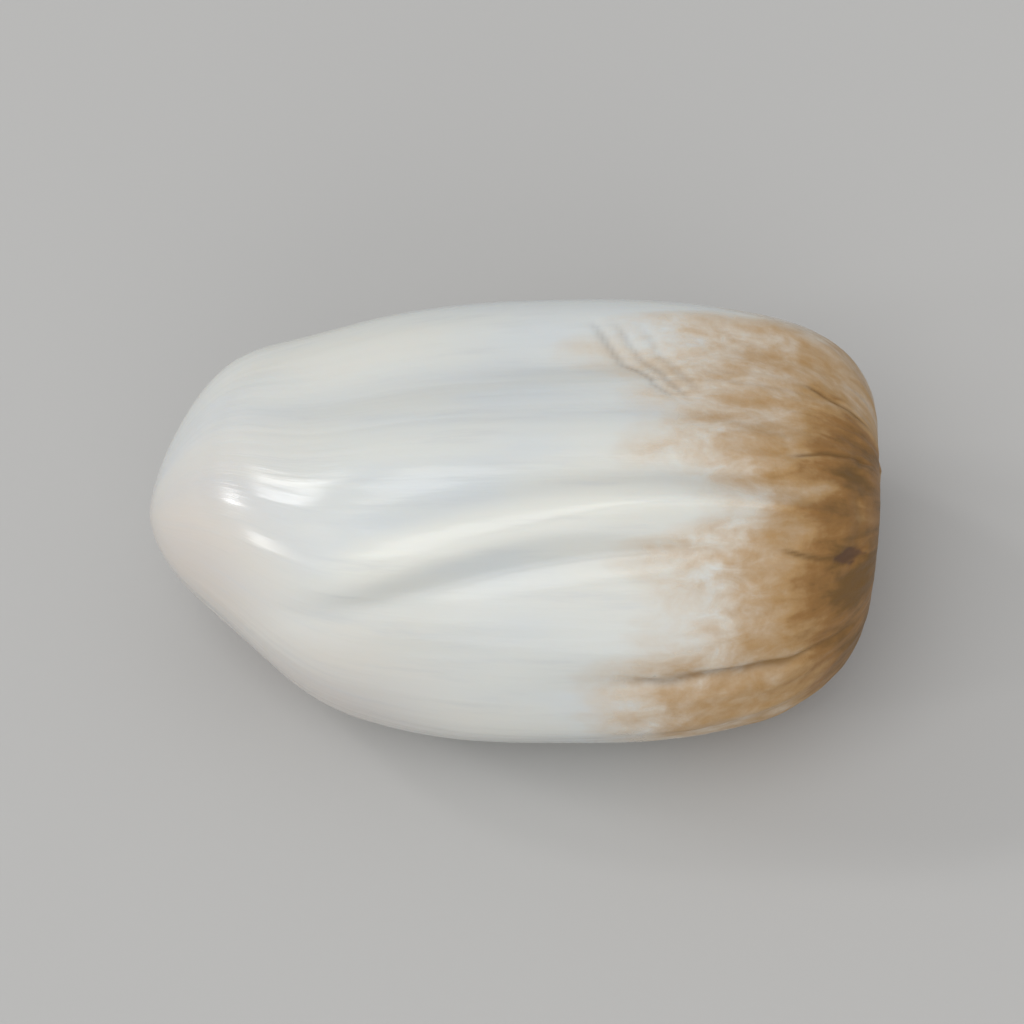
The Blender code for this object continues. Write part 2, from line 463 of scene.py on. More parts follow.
@dataclass(frozen=True)
class Notch:
    """The attachment scar: a corky hollow on the slanted flank beside the tip."""

    at: float = 0.135
    girth: float = 138.0
    half_length: float = 0.66 * MM
    half_width: float = 0.46 * MM
    depth: float = 0.24 * MM
    floor: float = 0.45
    edge: float = 1.05
    lip: float = 0.03 * MM
    lip_at: float = 1.2
    lip_spread: float = 0.2
    cork: Unevenness = Unevenness(0.09 * MM, 0.09 * MM, 2, 4.4)
    cork_height: float = 0.022 * MM
    cork_edge: tuple[float, float] = (0.74, 1.02)
    fray: Unevenness = Unevenness(0.30 * MM, 0.30 * MM, 2, 6.1)
    raggedness: float = 0.09
    blush_reach: float = 2.4

    def reach(self, form: SeedForm, skin: Skin, radius: np.ndarray) -> np.ndarray:
        """Measure how far each point is from the notch's middle.

        Args:
            form: The seed's main form.
            skin: The points.
            radius: The flank's radii in metres.

        Returns:
            Distances, where 1 is about the notch's edge.
        """
        lengthways = (skin.along - self.at) * form.length / self.half_length
        sideways = np.radians(girth_gap(skin.girth, self.girth)) * radius / self.half_width
        return np.hypot(lengthways, sideways)

    def sink(self, reach: np.ndarray, cork: np.ndarray) -> np.ndarray:
        """Give the depth of the notch.

        Args:
            reach: Distances from the notch's middle.
            cork: Noise for its rough floor.

        Returns:
            Depths in metres, negative on the lip round its edge.
        """
        inside = 1.0 - ramp(reach, self.floor, self.edge)
        lip = self.lip * bell((reach - self.lip_at) / self.lip_spread)
        return self.depth * inside - lip - self.cork_height * cork * inside


@dataclass(frozen=True)
class Crown:
    """The blunt crown face: folded rim, shallow basin and ring scar."""

    lip_at: float = 0.10
    lip_spread: float = 0.11
    basin_from: float = 0.10
    basin_to: float = 0.42
    basin_depth: float = 0.10 * MM
    rim_blend: float = 0.05
    rough_from: float = 0.17
    scar_centre: tuple[float, float] = (0.06 * MM, 0.10 * MM)
    scar_radius: float = 0.50 * MM
    scar_band: float = 0.10 * MM
    scar_height: float = 0.045 * MM
    moat_radius: float = 0.68 * MM
    moat_depth: float = 0.05 * MM
    pit_radius: float = 0.17 * MM
    pit_depth: float = 0.11 * MM
    ring_gap: float = 0.085 * MM
    ring_height: float = 0.007 * MM
    ring_warp: float = 0.5
    scales: Unevenness = Unevenness(0.13 * MM, 0.13 * MM, 3, 7.7)
    scale_height: float = 0.016 * MM
    pore_seed: int = 11
    pore_count: int = 17
    pore_stray: float = 0.3
    pore_radius: float = 0.64 * MM
    pore_reach: tuple[float, float] = (0.93, 1.12)
    pore_spread: tuple[float, float] = (0.7, 1.5)
    pore_size: float = 0.045 * MM
    pore_depth: float = 0.032 * MM
    disc_radius: float = 0.41 * MM
    disc_edge: tuple[float, float] = (0.88, 1.12)
    wobble: Unevenness = Unevenness(0.45 * MM, 0.45 * MM, 2, 2.9)
    wobble_height: float = 0.045 * MM
    moat_line: float = 0.6
    moat_shade: float = 0.8
    hollow_step: tuple[float, float] = (0.1, 0.7)
    hollow_shade: float = 0.5

    def middle(self, form: SeedForm) -> np.ndarray:
        """Find the middle of the ring scar.

        Args:
            form: The seed's main form.

        Returns:
            A point in metres, with the tip near the origin.
        """
        girth = np.arange(0.0, 360.0)
        along = np.ones_like(girth)
        centre = form.place(along, girth, form.radius(along, girth)).mean(axis=0)
        return centre + np.array([0.0, *self.scar_centre])

    def pores(self, aside: np.ndarray) -> np.ndarray:
        """Give the ring of small pits round the scar.

        Args:
            aside: Points across the crown from the scar's middle, in metres.

        Returns:
            1 in the middle of a pit and 0 away from the pits.
        """
        draw = np.random.default_rng(self.pore_seed)
        total = np.zeros(len(aside))
        for number in range(self.pore_count):
            turn = 2 * np.pi * (number + draw.uniform(-self.pore_stray, self.pore_stray)) / self.pore_count
            reach = self.pore_radius * draw.uniform(*self.pore_reach)
            size = self.pore_size * draw.uniform(*self.pore_spread)
            gap = np.hypot(aside[:, 0] - reach * cos(turn), aside[:, 1] - reach * sin(turn))
            total = np.maximum(total, bell(gap / size))
        return total

    def relief(self, form: SeedForm, skin: Skin, aside: np.ndarray, reach: np.ndarray,
               scales: np.ndarray) -> np.ndarray:
        """Give how far the face stands out from a flat lid.

        Args:
            form: The seed's main form.
            skin: The points.
            aside: Points across the crown from the scar's middle, in metres.
            reach: Distances from the scar's middle, with its uneven outline.
            scales: Noise for the scaly surface.

        Returns:
            Heights along X in metres.
        """
        inward = skin.inward
        lip = form.crown_lip * bell((inward - self.lip_at) / self.lip_spread)
        basin = self.basin_depth * ramp(inward, self.basin_from, self.basin_to)
        ring = self.scar_height * bell((reach - self.scar_radius) / self.scar_band)
        moat = self.moat_depth * bell((reach - self.moat_radius) / self.scar_band)
        pit = self.pit_depth * bell(reach / self.pit_radius)
        waves = self.ring_height * np.cos(2 * np.pi * (reach / self.ring_gap + self.ring_warp * scales))
        quiet = ramp(inward, self.rough_from, self.basin_to)
        rough = (waves * ramp(reach, self.pit_radius, self.scar_radius) + self.scale_height * scales) * quiet
        pores = self.pore_depth * self.pores(aside)
        return (lip - basin + ring - moat - pit + rough - pores) * ramp(inward, 0.0, self.rim_blend)


@dataclass(frozen=True)
class Stain:
    """The tan weathering that spreads from the crown up the flanks.

    Where it starts and how far it can go are given at girth angles and run evenly between them.
    """

    starts: Pairs = (
        (-150.0, 0.62), (-120.0, 0.58), (-90.0, 0.60), (-72.0, 0.66), (-62.0, 0.77), (-48.0, 0.75),
        (-42.0, 0.60), (-35.0, 0.54), (-28.0, 0.56), (-20.0, 0.585), (-12.0, 0.62), (0.0, 0.62),
        (10.0, 0.61), (18.0, 0.63), (21.5, 0.68), (24.0, 0.70), (29.5, 0.71), (32.5, 0.66), (36.0, 0.59),
        (42.0, 0.60), (50.0, 0.63), (60.0, 0.64), (70.0, 0.60), (77.0, 0.55), (90.0, 0.56), (110.0, 0.60),
        (140.0, 0.67), (180.0, 0.65),
    )
    limits: Pairs = (
        (-150.0, 1.30), (-100.0, 1.10), (-62.0, 0.70), (-50.0, 0.55), (-36.0, 0.52), (-28.0, 0.56),
        (-20.0, 0.72), (-12.0, 1.00), (0.0, 1.60), (60.0, 1.60), (110.0, 1.50), (180.0, 1.40),
    )
    rim_darkness: Pairs = (
        (-150.0, 0.8), (-100.0, 0.7), (-60.0, 0.3), (-30.0, 0.2), (-16.0, 0.5), (-6.0, 0.9), (10.0, 1.0),
        (60.0, 1.0), (110.0, 0.9), (180.0, 0.8),
    )
    softness: float = 0.38
    finger: float = 0.035
    crown_level: float = 0.84
    rim_blend: float = 0.20
    rim_level: float = 0.92
    rim_from: float = 0.76
    rim_to: float = 0.93
    deep_from: float = 0.86
    deep_crown: float = 0.25

    def at_girth(self, pairs: Pairs, girth: np.ndarray) -> np.ndarray:
        """Return the value that pairs of a girth angle and a value give at each girth angle."""
        girths, values = zip(*pairs)
        return np.interp(girth, girths, values, period=360.0)

    def cover(self, skin: Skin, fingers: np.ndarray) -> np.ndarray:
        """Give how stained the surface is.

        Args:
            skin: The points.
            fingers: Noise that frays the stain's edge along the fibres.

        Returns:
            0 on clean hull to 1.
        """
        start = self.at_girth(self.starts, skin.girth) + self.finger * fingers
        share = np.clip((skin.along - start) / self.softness, 0.0, 1.0)
        limit = self.at_girth(self.limits, skin.girth)
        flank = limit * np.tanh(share / limit)
        rim = self.rim_level * self.at_girth(self.rim_darkness, skin.girth)
        flank = np.maximum(flank, rim * ramp(skin.along, self.rim_from, self.rim_to))
        return flank + (self.crown_level - flank) * ramp(skin.inward, 0.0, self.rim_blend)

    def deep(self, skin: Skin, sway: np.ndarray) -> np.ndarray:
        """Say how near each point is to the dark band along the crown's rim.

        Args:
            skin: The points.
            sway: Noise that makes the band's edge uneven.

        Returns:
            1 on the band and 0 away from it.
        """
        rim = ramp(skin.along + self.finger * sway, self.deep_from, 1.0)
        rim = rim * self.at_girth(self.rim_darkness, skin.girth)
        return rim + (self.deep_crown - rim) * ramp(skin.inward, 0.0, self.rim_blend)


@dataclass(frozen=True)
class FineRelief:
    """Fine surface work on the flanks: crest line, fibres, wrinkles, creases and specks."""

    crest: Ridge = Ridge(MAIN_GIRTH, 0.035 * MM, 2.2, 0.54, 1.00, MAIN_BOW)
    seams: tuple[Ridge, ...] = (
        Ridge(MAIN_GIRTH + 14.5, -0.012 * MM, 1.6, 0.16, 0.92, 94.0),
        Ridge(MAIN_GIRTH - 9.0, -0.010 * MM, 2.0, 0.20, 0.86, 77.0),
        Ridge(-27.0, -0.010 * MM, 3.4, 0.12, 0.78, 35.0),
        Ridge(-69.0, -0.016 * MM, 2.4, 0.16, 0.80, -12.0),
        Ridge(-108.0, -0.016 * MM, 2.4, 0.20, 0.84, 12.0),
        Ridge(150.0, -0.014 * MM, 2.6, 0.30, 0.88, 8.0),
    )
    sway: Unevenness = Unevenness(0.5 * MM, 0.4 * MM, 2, 3.1)
    fingers: Unevenness = Unevenness(0.9 * MM, 0.35 * MM, 3, 8.4)
    threads: Unevenness = Unevenness(2.6 * MM, 0.16 * MM, 2, 1.7)
    thread_height: float = 0.004 * MM
    swell: Unevenness = Unevenness(1.9 * MM, 1.2 * MM, 2, 5.3)
    swell_height: float = 0.012 * MM
    wrinkles: Unevenness = Unevenness(0.62 * MM, 0.36 * MM, 3, 6.6)
    wrinkle_height: float = 0.020 * MM
    crumbs: Unevenness = Unevenness(0.16 * MM, 0.12 * MM, 2, 2.2)
    crumb_height: float = 0.006 * MM
    folds: Unevenness = Unevenness(0.5 * MM, 0.30 * MM, 2, 9.9)
    fold_height: float = 0.028 * MM
    fold_from: float = 0.90
    smooth_to: float = 0.12
    creases: tuple[Crease, ...] = (
        Crease((0.605, -44.0), (0.73, -6.0), 0.016 * MM, 0.050 * MM, 0.05 * MM, 1.3),
        Crease((0.635, -44.0), (0.75, -6.0), 0.014 * MM, 0.050 * MM, 0.05 * MM, 1.2),
        Crease((0.675, -42.0), (0.76, -10.0), 0.012 * MM, 0.050 * MM, 0.05 * MM, 1.0),
        Crease((0.62, 77.0), (1.02, 75.0), 0.028 * MM, 0.075 * MM, 0.10 * MM),
        Crease((0.84, 40.0), (1.03, 50.0), 0.024 * MM, 0.045 * MM, 0.08 * MM),
        Crease((0.86, 10.0), (0.99, 5.0), 0.022 * MM, 0.045 * MM, 0.08 * MM),
        Crease((0.88, -24.0), (0.99, -18.0), 0.020 * MM, 0.045 * MM, 0.08 * MM),
        Crease((0.955, -14.0), (0.965, 66.0), 0.028 * MM, 0.095 * MM, 0.14 * MM),
        Crease((0.30, -99.0), (0.72, -104.0), 0.012 * MM, 0.030 * MM, 0.06 * MM),
        Crease((0.36, -79.0), (0.66, -76.0), 0.012 * MM, 0.030 * MM, 0.06 * MM),
        Crease((0.70, -130.0), (0.92, -142.0), 0.030 * MM, 0.040 * MM, 0.08 * MM),
        Crease((0.66, 128.0), (0.94, 131.0), 0.030 * MM, 0.040 * MM, 0.08 * MM),
    )
    hollow_step: tuple[float, float] = (0.15, 0.8)
    hollow_shade: float = 0.22
    crest_highlight_step: tuple[float, float] = (0.02 * MM, 0.12 * MM)
    flute_shade_step: tuple[float, float] = (0.03 * MM, 0.13 * MM)
    scab: Speck = Speck(0.955, 45.0, 0.14 * MM, 0.12 * MM, 0.05 * MM)
    speck_seed: int = 5
    speck_fray: float = 0.7
    speck_count: int = 21
    speck_along: tuple[float, float] = (0.30, 0.95)
    speck_back: float = -60.0
    speck_ground: float = 135.0
    speck_crown: tuple[float, float] = (0.86, 40.0)
    speck_length: tuple[float, float] = (0.030 * MM, 0.080 * MM)
    speck_width: tuple[float, float] = (0.024 * MM, 0.038 * MM)
    speck_depth: tuple[float, float] = (0.004 * MM, 0.014 * MM)

    def specks(self) -> list[Speck]:
        """Scatter the specks, mostly over the back, the ground side and the crown's end.

        Returns:
            The specks, the same ones each time.
        """
        draw = np.random.default_rng(self.speck_seed)
        found = [self.scab]
        while len(found) < self.speck_count:
            along = draw.uniform(*self.speck_along)
            girth = draw.uniform(-180.0, 180.0)
            half_length = draw.uniform(*self.speck_length)
            half_width = draw.uniform(*self.speck_width)
            depth = draw.uniform(*self.speck_depth)
            by_crown = along > self.speck_crown[0] and girth > self.speck_crown[1]
            if girth < self.speck_back or girth > self.speck_ground or by_crown:
                found.append(Speck(along, girth, half_length, half_width, depth))
        return found


@dataclass(frozen=True)
class NoiseLayer:
    """One noise texture: how fine it is, how far it is drawn out along the fibres, and how rough."""

    scale: float
    drawn_out: float = 1.0
    detail: float = 3.0
    roughness: float = 0.6
    warp: float = 0.0


@dataclass(frozen=True)
class HullFinish:
    """Glossy white hull that turns to dull, weathered tan at the crown.

    A step is the value where it begins and the one where it ends, and then its two results if they aren't 0
    and 1.
    """

    white: Shade = tone(211, 213, 209)
    pearl: Shade = tone(204, 209, 211)
    ivory: Shade = tone(215, 214, 206)
    # painted shade: the cooler grey laid in the flutes and grooves; the fine grey threads reuse this grey
    flute_shade: Shade = tone(194, 197, 198)
    # painted highlight: the lighter, warmer white laid on the rib crests
    crest: Shade = tone(222, 222, 214)
    # a darker, warmer flush, partly painted shade on the tip end
    flush_and_tip_shade: Shade = tone(200, 191, 183)
    cream: Shade = tone(205, 193, 176)
    tan: Shade = tone(187, 160, 127)
    golden: Shade = tone(174, 138, 90)
    rust: Shade = tone(147, 106, 54)
    umber: Shade = tone(114, 82, 34)
    # painted shade: the grey laid in creases on the white hull
    crease_shade_grey: Shade = tone(150, 147, 142)
    cork: Shade = tone(96, 78, 62)
    cork_pale: Shade = tone(140, 116, 92)
    disc: Shade = tone(134, 102, 76)
    ring: Shade = tone(192, 168, 134)
    speck: Shade = tone(96, 66, 42)
    blotches: NoiseLayer = NoiseLayer(1200.0, 0.8, 2.0, 0.5, 0.8)
    blotch_weight: float = 1.15
    patches: NoiseLayer = NoiseLayer(3300.0, 0.7, 3.0, 0.6, 0.5)
    patch_weight: float = 0.90
    flecks: NoiseLayer = NoiseLayer(9000.0)
    fleck_weight: float = 0.34
    streaks: NoiseLayer = NoiseLayer(7000.0, 0.25)
    streak_weight: float = 0.12
    mottle_offset: float = -1.255
    mottle_step: tuple[float, ...] = (0.0, 0.55, 0.06, 1.0)
    deep_weight: float = 0.46
    clean_step: tuple[float, ...] = (0.0, 0.10)
    stain_step: tuple[float, ...] = (0.04, 0.60)
    cream_step: tuple[float, ...] = (0.00, 0.34)
    tan_step: tuple[float, ...] = (0.20, 0.62)
    golden_step: tuple[float, ...] = (0.50, 0.88)
    rust_step: tuple[float, ...] = (0.80, 1.16)
    umber_step: tuple[float, ...] = (1.10, 1.50)
    clouding: NoiseLayer = NoiseLayer(800.0, 0.45, 2.0, 0.5)
    pearl_step: tuple[float, ...] = (0.36, 0.52, 0.75, 0.0)
    ivory_step: tuple[float, ...] = (0.50, 0.66, 0.0, 0.7)
    flute_shade_weight: float = 0.45
    crest_highlight_weight: float = 0.8
    threads: NoiseLayer = NoiseLayer(6200.0, 0.12, 4.0)
    thread_step: tuple[float, ...] = (0.52, 0.76, 0.0, 0.4)
    crease_shade_step: tuple[float, ...] = (0.02, 0.80, 0.0, 0.80)
    grit: NoiseLayer = NoiseLayer(6500.0, 1.0, 4.0, 0.65)
    ring_step: tuple[float, ...] = (0.25, 0.95)
    ring_worn_step: tuple[float, ...] = (0.30, 0.62)
    disc_pit_step: tuple[float, ...] = (0.38, 0.66)
    disc_weight: float = 0.85
    cork_step: tuple[float, ...] = (0.4, 0.65)
    speck_step: tuple[float, ...] = (0.15, 0.85, 0.0, 0.9)
    white_roughness: float = 0.20
    tan_roughness: float = 0.50
    scar_roughness: float = 0.85
    smears: NoiseLayer = NoiseLayer(2400.0, 1.0, 3.0, 0.55)
    smear_weight: float = 0.16
    fibres: NoiseLayer = NoiseLayer(15000.0, 0.12)
    fibre_weight: float = 0.35
    crumbs: NoiseLayer = NoiseLayer(16000.0, 1.0, 4.0, 0.65)
    stain_crumb: float = 0.9
    notch_crumb: float = 1.5
    bump_height: float = 0.006 * MM
    subsurface: float = 0.18
    subsurface_depth: float = 0.35 * MM
    subsurface_tint: tuple[float, float, float] = (1.0, 0.72, 0.5)


class Graph:
    """Adds shader nodes to one material and joins them."""

    def __init__(self, name: str) -> None:
        """Start a material with a Principled shader.

        Args:
            name: The material's name.
        """
        self.material = bpy.data.materials.new(name)
        self.material.use_nodes = True
        self.tree = self.material.node_tree
        self.shader = self.tree.nodes["Principled BSDF"]

    def feed(self, socket: bpy.types.NodeSocket, value: object) -> None:
        """Join a socket to another one, or set it to a number or colour.

        Args:
            socket: The socket that is fed.
            value: Another socket, a number or a colour.
        """
        if isinstance(value, bpy.types.NodeSocket):
            self.tree.links.new(value, socket)
        else:
            socket.default_value = value

    def read(self, name: str, output: str = "Fac") -> bpy.types.NodeSocket:
        """Read an attribute of the mesh.

        Args:
            name: The attribute's name.
            output: Which of the node's outputs is wanted.

        Returns:
            Its socket.
        """
        node = self.tree.nodes.new("ShaderNodeAttribute")
        node.attribute_name = name
        return node.outputs[output]

    def place(self) -> bpy.types.NodeSocket:
        """Return the point on the object, in metres."""
        return self.tree.nodes.new("ShaderNodeTexCoord").outputs["Object"]

    def noise(self, vector: bpy.types.NodeSocket, layer: NoiseLayer) -> bpy.types.NodeSocket:
        """Add a noise texture.

        Args:
            vector: Where to sample it, with the fibres along its X.
            layer: How it looks.

        Returns:
            Its value, around 0.5.
        """
        mapping = self.tree.nodes.new("ShaderNodeMapping")
        self.feed(mapping.inputs["Vector"], vector)
        self.feed(mapping.inputs["Scale"], (layer.drawn_out, 1.0, 1.0))
        node = self.tree.nodes.new("ShaderNodeTexNoise")
        for name, part in (("Vector", mapping.outputs["Vector"]), ("Scale", layer.scale),
                           ("Detail", layer.detail), ("Roughness", layer.roughness),
                           ("Distortion", layer.warp)):
            self.feed(node.inputs[name], part)
        return node.outputs["Fac"]

    def maths(self, operation: str, first: object, second: object) -> bpy.types.NodeSocket:
        """Add a Math node.

        Args:
            operation: What it works out.
            first: Its first value.
            second: Its second value.

        Returns:
            The result.
        """
        node = self.tree.nodes.new("ShaderNodeMath")
        node.operation = operation
        self.feed(node.inputs[0], first)
        self.feed(node.inputs[1], second)
        return node.outputs["Value"]

    def times(self, first: object, second: object) -> bpy.types.NodeSocket:
        """Return the product of two values."""
        return self.maths("MULTIPLY", first, second)

    def total(self, *parts: tuple[bpy.types.NodeSocket, float], offset: float = 0.0) -> bpy.types.NodeSocket:
        """Add up several values, each times its weight.

        Args:
            *parts: Pairs of a value and its weight.
            offset: What is added at the end.

        Returns:
            The sum.
        """
        result = offset
        for value, weight in parts:
            node = self.tree.nodes.new("ShaderNodeMath")
            node.operation = "MULTIPLY_ADD"
            for socket, part in zip(node.inputs, (value, weight, result)):
                self.feed(socket, part)
            result = node.outputs["Value"]
        return result

    def step(self, value: object, low: float, high: float, bottom: float = 0.0,
             top: float = 1.0) -> bpy.types.NodeSocket:
        """Add a smooth step.

        Args:
            value: What is measured.
            low: Where the step begins.
            high: Where it ends.
            bottom: Its result at low.
            top: Its result at high.

        Returns:
            The stepped value.
        """
        node = self.tree.nodes.new("ShaderNodeMapRange")
        node.interpolation_type = "SMOOTHSTEP"
        for name, part in (("Value", value), ("From Min", low), ("From Max", high),
                           ("To Min", bottom), ("To Max", top)):
            self.feed(node.inputs[name], part)
        return node.outputs["Result"]

    def blend(self, share: object, first: object, second: object) -> bpy.types.NodeSocket:
        """Mix two colours.

        Args:
            share: How much of the second colour there is, 0 to 1.
            first: The colour at 0.
            second: The colour at 1.

        Returns:
            The mixed colour.
        """
        node = self.tree.nodes.new("ShaderNodeMix")
        node.data_type = "RGBA"
        self.feed(node.inputs["Factor"], share)
        self.feed(node.inputs[6], first)
        self.feed(node.inputs[7], second)
        return node.outputs[2]

    def bump(self, height: bpy.types.NodeSocket, distance: float) -> None:
        """Give the shader a bump.

        Args:
            height: The relief, about 0 to 1.
            distance: How high 1 is, in metres.
        """
        node = self.tree.nodes.new("ShaderNodeBump")
        self.feed(node.inputs["Height"], height)
        self.feed(node.inputs["Distance"], distance)
        self.feed(self.shader.inputs["Normal"], node.outputs["Normal"])


class HullMaterial:
    """Builds the seed coat's material from its finish and the surface's masks."""

    def __init__(self, finish: HullFinish) -> None:
        """Keep the finish and start the material.

        Args:
            finish: The colours and gloss of the hull.
        """
        self.finish = finish
        self.graph = Graph("seed_coat_finish")
        self.place = self.graph.place()
        self.fibre = self.graph.read(Grain.FIBRE.value, "Vector")
        self.level = self.weathering()
        self.stain = self.graph.step(self.level, *finish.stain_step)
        self.grit = self.graph.noise(self.place, finish.grit)

    def mask(self, mask: Mask) -> bpy.types.NodeSocket:
        """Return one of the surface's masks."""
        return self.graph.read(mask.value)

    def weathering(self) -> bpy.types.NodeSocket:
        """Work out how far the weathering has gone.

        Returns:
            0 on clean hull, and past 1 at the crown's rim.
        """
        graph = self.graph
        finish = self.finish
        stain = self.mask(Mask.STAIN)
        mottle = graph.total(
            (graph.noise(self.fibre, finish.blotches), finish.blotch_weight),
            (graph.noise(self.fibre, finish.patches), finish.patch_weight),
            (graph.noise(self.place, finish.flecks), finish.fleck_weight),
            (graph.noise(self.fibre, finish.streaks), finish.streak_weight),
            offset=finish.mottle_offset,
        )
        aged = graph.total((stain, 1.0), (self.mask(Mask.DEEP), finish.deep_weight))
        uneven = graph.maths("ADD", aged, graph.times(mottle, graph.step(stain, *finish.mottle_step)))
        return graph.times(graph.step(stain, *finish.clean_step), uneven)

    def hull(self) -> bpy.types.NodeSocket:
        """Colour the unstained hull: white, with pearly and ivory clouds, painted shade in the grooves, a
        painted highlight on the rib crests, and a flush with painted shade at the tip.

        Returns:
            The hull's colour.
        """
        graph = self.graph
        finish = self.finish
        broad = graph.noise(self.fibre, finish.clouding)
        threads = graph.noise(self.fibre, finish.threads)
        colour = finish.white
        for share, shade in (
            (graph.step(broad, *finish.pearl_step), finish.pearl),
            (graph.step(broad, *finish.ivory_step), finish.ivory),
            (graph.times(self.mask(Mask.FLUTE_SHADE), finish.flute_shade_weight), finish.flute_shade),
            (graph.times(self.mask(Mask.CREST_HIGHLIGHT), finish.crest_highlight_weight), finish.crest),
            (self.mask(Mask.FLUSH_AND_TIP_SHADE), finish.flush_and_tip_shade),
            # the fine grey threads reuse the grey of the painted groove shade
            (graph.step(threads, *finish.thread_step), finish.flute_shade),
        ):
            colour = graph.blend(share, colour, shade)
        return colour

    def coat(self) -> bpy.types.NodeSocket:
        """Lay the weathering over the hull, from cream through tan to dark brown.

        Returns:
            The coat's colour.
        """
        finish = self.finish
        colour = self.hull()
        for limits, shade in (
            (finish.cream_step, finish.cream),
            (finish.tan_step, finish.tan),
            (finish.golden_step, finish.golden),
            (finish.rust_step, finish.rust),
            (finish.umber_step, finish.umber),
        ):
            colour = self.graph.blend(self.graph.step(self.level, *limits), colour, shade)
        return colour

    def colour(self) -> bpy.types.NodeSocket:
        """Lay the painted shade in creases, hollows and pits, then the ring, disc, notch and specks over the
        coat.

        Returns:
            The colour of the whole seed.
        """
        graph = self.graph
        finish = self.finish
        # painted shade colour for creases, hollows and pits: grey on the white hull, umber on the stained
        # parts
        line = graph.blend(self.stain, finish.crease_shade_grey, finish.umber)
        worn = graph.step(self.grit, *finish.ring_worn_step)
        disc = graph.blend(graph.step(self.grit, *finish.disc_pit_step), finish.umber, finish.disc)
        flecks = graph.noise(self.place, finish.flecks)
        cork = graph.blend(graph.step(flecks, *finish.cork_step), finish.cork, finish.cork_pale)
        colour = self.coat()
        for share, shade in (
            (graph.step(self.mask(Mask.CREASE), *finish.crease_shade_step), line),
            (graph.times(graph.step(self.mask(Mask.RING), *finish.ring_step), worn), finish.ring),
            (graph.times(self.mask(Mask.DISC), finish.disc_weight), disc),
            (self.mask(Mask.NOTCH), cork),
            (graph.step(self.mask(Mask.SPECK), *finish.speck_step), finish.speck),
        ):
            colour = graph.blend(share, colour, shade)
        return colour

    def gloss(self) -> bpy.types.NodeSocket:
        """Work out how dull the surface is, from glossy hull to dull scars.

        Returns:
            The roughness of the whole seed.
        """
        graph = self.graph
        finish = self.finish
        coat = graph.step(self.stain, 0.0, 1.0, finish.white_roughness, finish.tan_roughness)
        smears = graph.maths("SUBTRACT", graph.noise(self.fibre, finish.smears), 0.5)
        scars = graph.maths("MAXIMUM", self.mask(Mask.NOTCH), self.mask(Mask.DISC))
        dullness = finish.scar_roughness - finish.tan_roughness
        extra = graph.total((smears, finish.smear_weight), (scars, dullness))
        return graph.maths("ADD", coat, extra)

    def micro_relief(self) -> bpy.types.NodeSocket:
        """Add up the relief that is too fine for the mesh.

        Returns:
            Its height, about 0 to 1.
        """
        graph = self.graph
        finish = self.finish
        fibres = graph.times(graph.noise(self.fibre, finish.fibres), finish.fibre_weight)
        rough = graph.total((self.stain, finish.stain_crumb), (self.mask(Mask.NOTCH), finish.notch_crumb))
        return graph.maths("ADD", fibres, graph.times(graph.noise(self.place, finish.crumbs), rough))

    def build(self) -> bpy.types.Material:
        """Join everything to the shader.

        Returns:
            The finished material.
        """
        graph = self.graph
        finish = self.finish
        sockets = graph.shader.inputs
        graph.feed(sockets["Base Color"], self.colour())
        graph.feed(sockets["Roughness"], self.gloss())
        graph.feed(sockets["Subsurface Weight"], finish.subsurface)
        graph.feed(sockets["Subsurface Radius"], finish.subsurface_tint)
        graph.feed(sockets["Subsurface Scale"], finish.subsurface_depth)
        graph.bump(self.micro_relief(), finish.bump_height)
        return graph.material


